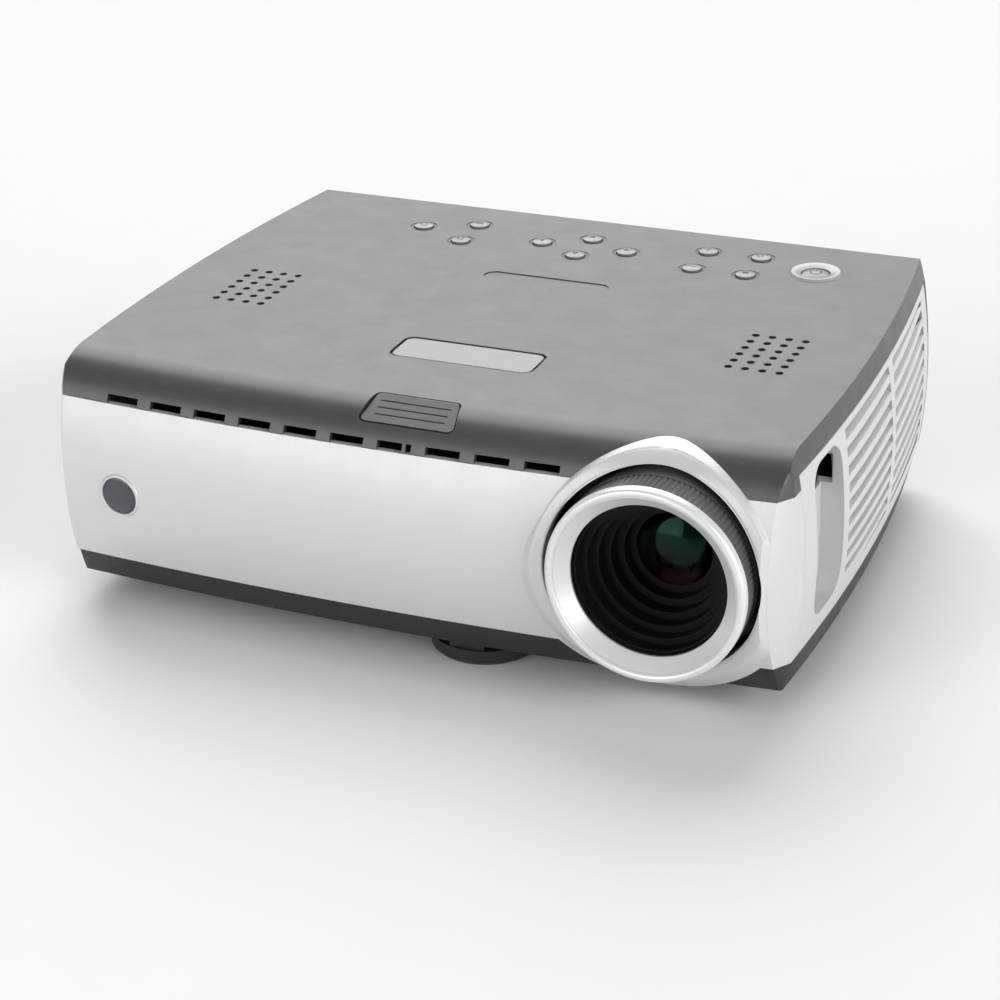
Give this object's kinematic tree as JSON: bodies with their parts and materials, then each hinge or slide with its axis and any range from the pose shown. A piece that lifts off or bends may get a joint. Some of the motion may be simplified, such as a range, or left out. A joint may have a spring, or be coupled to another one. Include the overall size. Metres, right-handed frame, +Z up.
{
  "type": "home projector",
  "caption": "Portable table-top video projector with a large front lens, louvred sides, a top keypad and a lifting front foot.",
  "frame": {"origin": "centre of the footprint, on the surface that the projector stands on", "axes": "+Z up, the lens looks along -Y, +X to the right when seen from the front"},
  "size_m": [0.2818, 0.2224, 0.096],
  "materials": {
    "dark_shell": "satin metallic paint on plastic",
    "silver_shell": "fine silver metallic paint on plastic",
    "rear_plastic": "fine moulded texture",
    "black_plastic": "fine moulded texture",
    "ir_plastic": "dark translucent window",
    "plate_metal": "satin, blank",
    "dark_rubber": "matte",
    "trim_metal": "satin silver",
    "circuit_board": "solder mask",
    "inner_nylon": "natural",
    "spring_steel": "plain",
    "lens_black": "flocked black",
    "lens_glass": "coated",
    "cast_metal": "as cast",
    "wheel_glass": "dichroic segments",
    "bare_aluminium": "extruded",
    "sheet_steel": "plated",
    "reflector": "coated bowl",
    "speaker_paper": "paper cone",
    "socket_metal": "nickel plated",
    "insert_brass": "knurled insert",
    "key_cap": "satin"
  },
  "bodies": {
    "casing": {"top_cover": "dark_shell", "front_panel": "silver_shell", "left_side_panel": "silver_shell", "right_side_panel": "silver_shell", "rear_panel": "rear_plastic", "base_tray": "black_plastic", "ir_window": "ir_plastic", "label_plate": "plate_metal", "key_rings": "dark_rubber", "power_ring": "trim_metal", "keypad_board": "circuit_board", "release_spring": "spring_steel", "foot_guide": "inner_nylon", "rear_rubber_foot": "dark_rubber", "lens_barrel": "black_plastic", "optical_engine": "cast_metal", "light_tunnel": "lens_glass", "wheel_motor": "cast_metal", "mirror_chip_board": "circuit_board", "chip_heatsink": "bare_aluminium", "lamp_housing": "sheet_steel", "lamp": "reflector", "lamp_door": "black_plastic", "exhaust_fan_frame": "black_plastic", "main_board": "circuit_board", "power_supply": "circuit_board", "lamp_ballast": "circuit_board", "speakers": "speaker_paper", "power_inlet": "black_plastic", "video_sockets": "socket_metal", "av_jacks": "black_plastic", "case_screws": "spring_steel", "mounting_inserts": "insert_brass"},
    "focus_group": {"lens_bezel": "trim_metal", "focus_ring": "dark_rubber"},
    "front_cell_group": {"front_lens_cell": "lens_black", "front_lens": "lens_glass"},
    "zoom_ring_body": {"zoom_ring": "dark_rubber"},
    "zoom_cell_group": {"zoom_cell": "lens_black", "zoom_lens": "lens_glass"},
    "power_key_body": {"power_key": "key_cap"},
    "release_button_body": {"release_button": "dark_shell"},
    "release_slider_body": {"release_slider": "inner_nylon"},
    "lift_foot_body": {"lift_foot": "black_plastic"},
    "tilt_wheel_body": {"tilt_wheel": "black_plastic"},
    "tilt_post_body": {"tilt_post": "spring_steel"},
    "colour_wheel_body": {"colour_wheel": "wheel_glass"},
    "fan_rotor_body": {"exhaust_fan_rotor": "black_plastic"},
    "left_group_outer_key_body": {"left_group_outer_key": "key_cap"},
    "left_group_rear_key_body": {"left_group_rear_key": "key_cap"},
    "left_group_front_key_body": {"left_group_front_key": "key_cap"},
    "arrow_left_key_body": {"arrow_left_key": "key_cap"},
    "arrow_rear_key_body": {"arrow_rear_key": "key_cap"},
    "arrow_front_key_body": {"arrow_front_key": "key_cap"},
    "arrow_right_key_body": {"arrow_right_key": "key_cap"},
    "right_group_rear_inner_key_body": {"right_group_rear_inner_key": "key_cap"},
    "right_group_front_inner_key_body": {"right_group_front_inner_key": "key_cap"},
    "right_group_rear_outer_key_body": {"right_group_rear_outer_key": "key_cap"},
    "right_group_front_outer_key_body": {"right_group_front_outer_key": "key_cap"}
  },
  "joints": [
    {"name": "focus_turn", "type": "hinge", "parent": "casing", "child": "focus_group", "pos_m": [0.0933, -0.1, 0.0526], "axis": [0, 1, 0], "range_deg": [-50, 50]},
    {"name": "front_cell_slide", "type": "slide", "parent": "casing", "child": "front_cell_group", "axis": [0, 1, 0], "range_m": [-0.001, 0.001]},
    {"name": "zoom_turn", "type": "hinge", "parent": "casing", "child": "zoom_ring_body", "pos_m": [0.0933, -0.09, 0.0526], "axis": [0, 1, 0], "range_deg": [-25, 25]},
    {"name": "zoom_cell_slide", "type": "slide", "parent": "casing", "child": "zoom_cell_group", "axis": [0, 1, 0], "range_m": [-0.005, 0.005]},
    {"name": "left_group_outer_key_press", "type": "slide", "parent": "casing", "child": "left_group_outer_key_body", "axis": [0, 0, -1], "range_m": [0, 0.0008], "stiffness_N_per_m": 400},
    {"name": "left_group_rear_key_press", "type": "slide", "parent": "casing", "child": "left_group_rear_key_body", "axis": [0, 0, -1], "range_m": [0, 0.0008], "stiffness_N_per_m": 400},
    {"name": "left_group_front_key_press", "type": "slide", "parent": "casing", "child": "left_group_front_key_body", "axis": [0, 0, -1], "range_m": [0, 0.0008], "stiffness_N_per_m": 400},
    {"name": "arrow_left_key_press", "type": "slide", "parent": "casing", "child": "arrow_left_key_body", "axis": [0, 0, -1], "range_m": [0, 0.0008], "stiffness_N_per_m": 400},
    {"name": "arrow_rear_key_press", "type": "slide", "parent": "casing", "child": "arrow_rear_key_body", "axis": [0, 0, -1], "range_m": [0, 0.0008], "stiffness_N_per_m": 400},
    {"name": "arrow_front_key_press", "type": "slide", "parent": "casing", "child": "arrow_front_key_body", "axis": [0, 0, -1], "range_m": [0, 0.0008], "stiffness_N_per_m": 400},
    {"name": "arrow_right_key_press", "type": "slide", "parent": "casing", "child": "arrow_right_key_body", "axis": [0, 0, -1], "range_m": [0, 0.0008], "stiffness_N_per_m": 400},
    {"name": "right_group_rear_inner_key_press", "type": "slide", "parent": "casing", "child": "right_group_rear_inner_key_body", "axis": [0, 0, -1], "range_m": [0, 0.0008], "stiffness_N_per_m": 400},
    {"name": "right_group_front_inner_key_press", "type": "slide", "parent": "casing", "child": "right_group_front_inner_key_body", "axis": [0, 0, -1], "range_m": [0, 0.0008], "stiffness_N_per_m": 400},
    {"name": "right_group_rear_outer_key_press", "type": "slide", "parent": "casing", "child": "right_group_rear_outer_key_body", "axis": [0, 0, -1], "range_m": [0, 0.0008], "stiffness_N_per_m": 400},
    {"name": "right_group_front_outer_key_press", "type": "slide", "parent": "casing", "child": "right_group_front_outer_key_body", "axis": [0, 0, -1], "range_m": [0, 0.0008], "stiffness_N_per_m": 400},
    {"name": "power_key_press", "type": "slide", "parent": "casing", "child": "power_key_body", "axis": [0, 0, -1], "range_m": [0, 0.0008], "stiffness_N_per_m": 400},
    {"name": "release_press", "type": "slide", "parent": "casing", "child": "release_button_body", "axis": [0, 0.3972, -0.9178], "range_m": [0, 0.0015], "stiffness_N_per_m": 900},
    {"name": "release_slide", "type": "slide", "parent": "casing", "child": "release_slider_body", "axis": [-1, 0, 0], "range_m": [0, 0.0018]},
    {"name": "foot_lift", "type": "slide", "parent": "casing", "child": "lift_foot_body", "axis": [0, 0, -1], "range_m": [0, 0.025]},
    {"name": "tilt_slide", "type": "slide", "parent": "casing", "child": "tilt_post_body", "axis": [0, 0, -1], "range_m": [0, 0.005]},
    {"name": "tilt_turn", "type": "hinge", "parent": "casing", "child": "tilt_wheel_body", "pos_m": [-0.108, 0.084, 0.008], "axis": [0, 0, 1], "range_deg": [0, 1800]},
    {"name": "colour_wheel_spin", "type": "hinge", "parent": "casing", "child": "colour_wheel_body", "pos_m": [0.019, -0.014, 0.0526], "axis": [1, 0, 0], "continuous": true},
    {"name": "fan_spin", "type": "hinge", "parent": "casing", "child": "fan_rotor_body", "pos_m": [-0.124, -0.002, 0.0495], "axis": [1, 0, 0], "continuous": true}
  ],
  "couplings": [
    {"joint": "front_cell_slide", "follows": "focus_turn", "m_per_rad": 0.0011459},
    {"joint": "zoom_cell_slide", "follows": "zoom_turn", "m_per_rad": 0.011459},
    {"joint": "release_slide", "follows": "release_press", "ratio": 1.2},
    {"joint": "tilt_turn", "follows": "tilt_slide", "rad_per_m": 6283.1}
  ]
}
